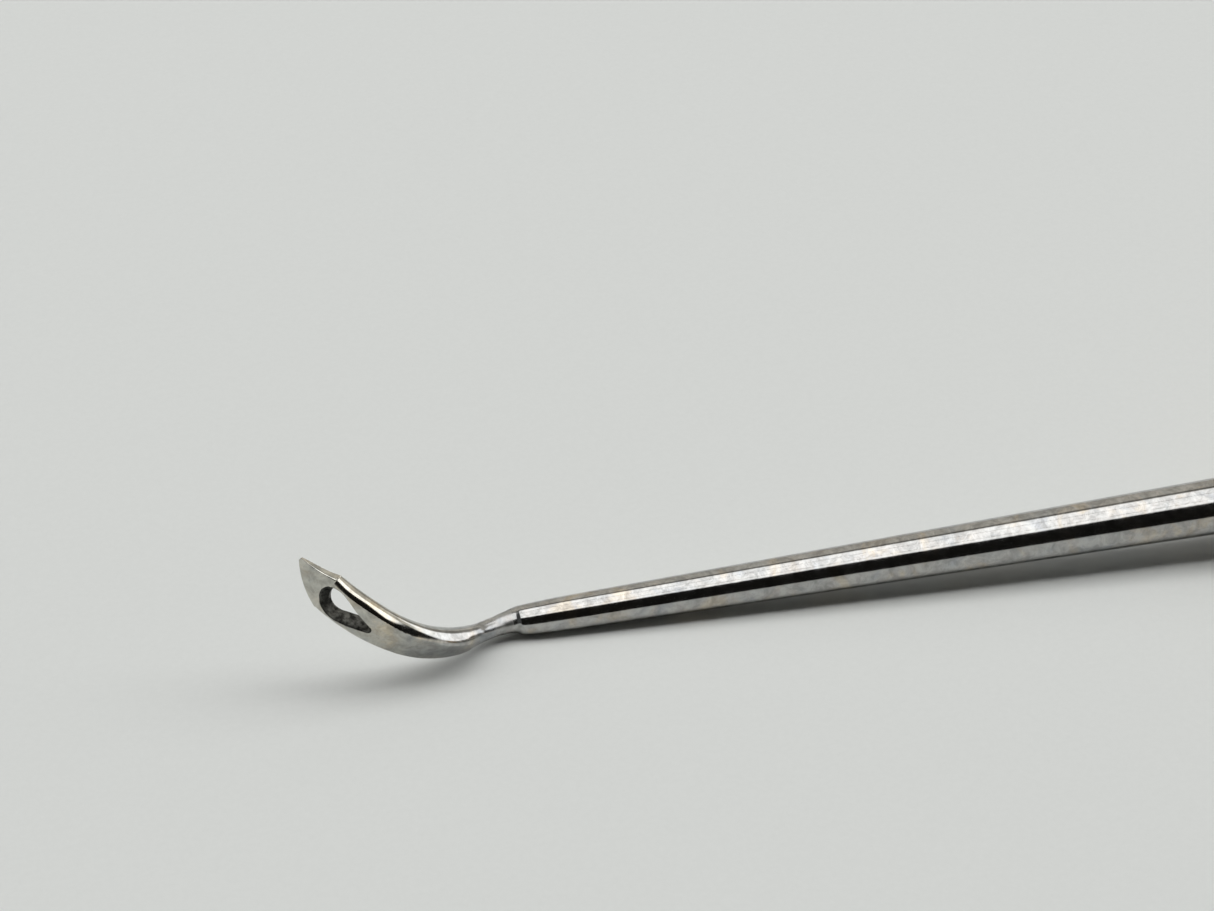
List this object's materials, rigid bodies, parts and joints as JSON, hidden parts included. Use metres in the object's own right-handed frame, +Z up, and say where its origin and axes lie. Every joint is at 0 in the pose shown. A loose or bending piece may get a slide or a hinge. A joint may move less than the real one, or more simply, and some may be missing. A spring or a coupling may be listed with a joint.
{
  "type": "cable needle",
  "caption": "Eye-pointed steel needle with a tapered shank and a bent, flattened tip, held by a split collet and knurled nut in a slim eight-sided wooden handle with a screw cap.",
  "frame": {"origin": "the floor under the middle of the tool's bounding box, as it lies on a table", "axes": "+X along the tool from the point to the cap, +Y sideways, +Z up from the table"},
  "size_m": [0.1398, 0.0142, 0.0141],
  "materials": {
    "needle_steel": "mirror polished, lightly tarnished",
    "collet_steel": "hardened, satin",
    "ring_steel": "ground",
    "nut_brass": "turned and lacquered",
    "spindle_brass": "turned",
    "ferrule_brass": "polished, aged",
    "grip_wood": "oiled hardwood",
    "pin_brass": "filed flush",
    "tube_aluminium": "drawn",
    "bush_brass": "turned",
    "seal_rubber": "matt",
    "cap_brass": "turned and lacquered"
  },
  "bodies": {
    "handle": {"spindle": "spindle_brass", "front_ferrule": "ferrule_brass", "grip": "grip_wood", "tang_pin": "pin_brass", "storage_tube": "tube_aluminium", "end_bush": "bush_brass"},
    "collet_body": {"collet": "collet_steel"},
    "needle_body": {"needle": "needle_steel"},
    "ring_body": {"closing_ring": "ring_steel"},
    "nut_body": {"chuck_nut": "nut_brass"},
    "seal_body": {"cap_seal": "seal_rubber"},
    "cap_body": {"end_cap": "cap_brass"}
  },
  "joints": [
    {"name": "nut_turn", "type": "hinge", "parent": "ring_body", "child": "nut_body", "pos_m": [-0.05647, 0, 0.00095], "axis": [0.9986, 0, 0.0523], "range_deg": [-721, 0]},
    {"name": "ring_advance", "type": "slide", "parent": "handle", "child": "ring_body", "axis": [0.9986, 0, 0.0523], "range_m": [-0.001, 0]},
    {"name": "needle_aim", "type": "hinge", "parent": "handle", "child": "collet_body", "pos_m": [-0.05647, 0, 0.00095], "axis": [0.9986, 0, 0.0523], "continuous": true},
    {"name": "needle_draw", "type": "slide", "parent": "collet_body", "child": "needle_body", "axis": [0.9986, 0, 0.0523], "range_m": [-0.03, 0]},
    {"name": "cap_turn", "type": "hinge", "parent": "seal_body", "child": "cap_body", "pos_m": [-0.05647, 0, 0.00095], "axis": [0.9986, 0, 0.0523], "range_deg": [0, 2881]},
    {"name": "seal_lift", "type": "slide", "parent": "handle", "child": "seal_body", "axis": [0.9986, 0, 0.0523], "range_m": [0, 0.01]}
  ],
  "couplings": [
    {"joint": "nut_turn", "follows": "ring_advance", "rad_per_m": 12566},
    {"joint": "cap_turn", "follows": "seal_lift", "rad_per_m": 5026.5}
  ]
}
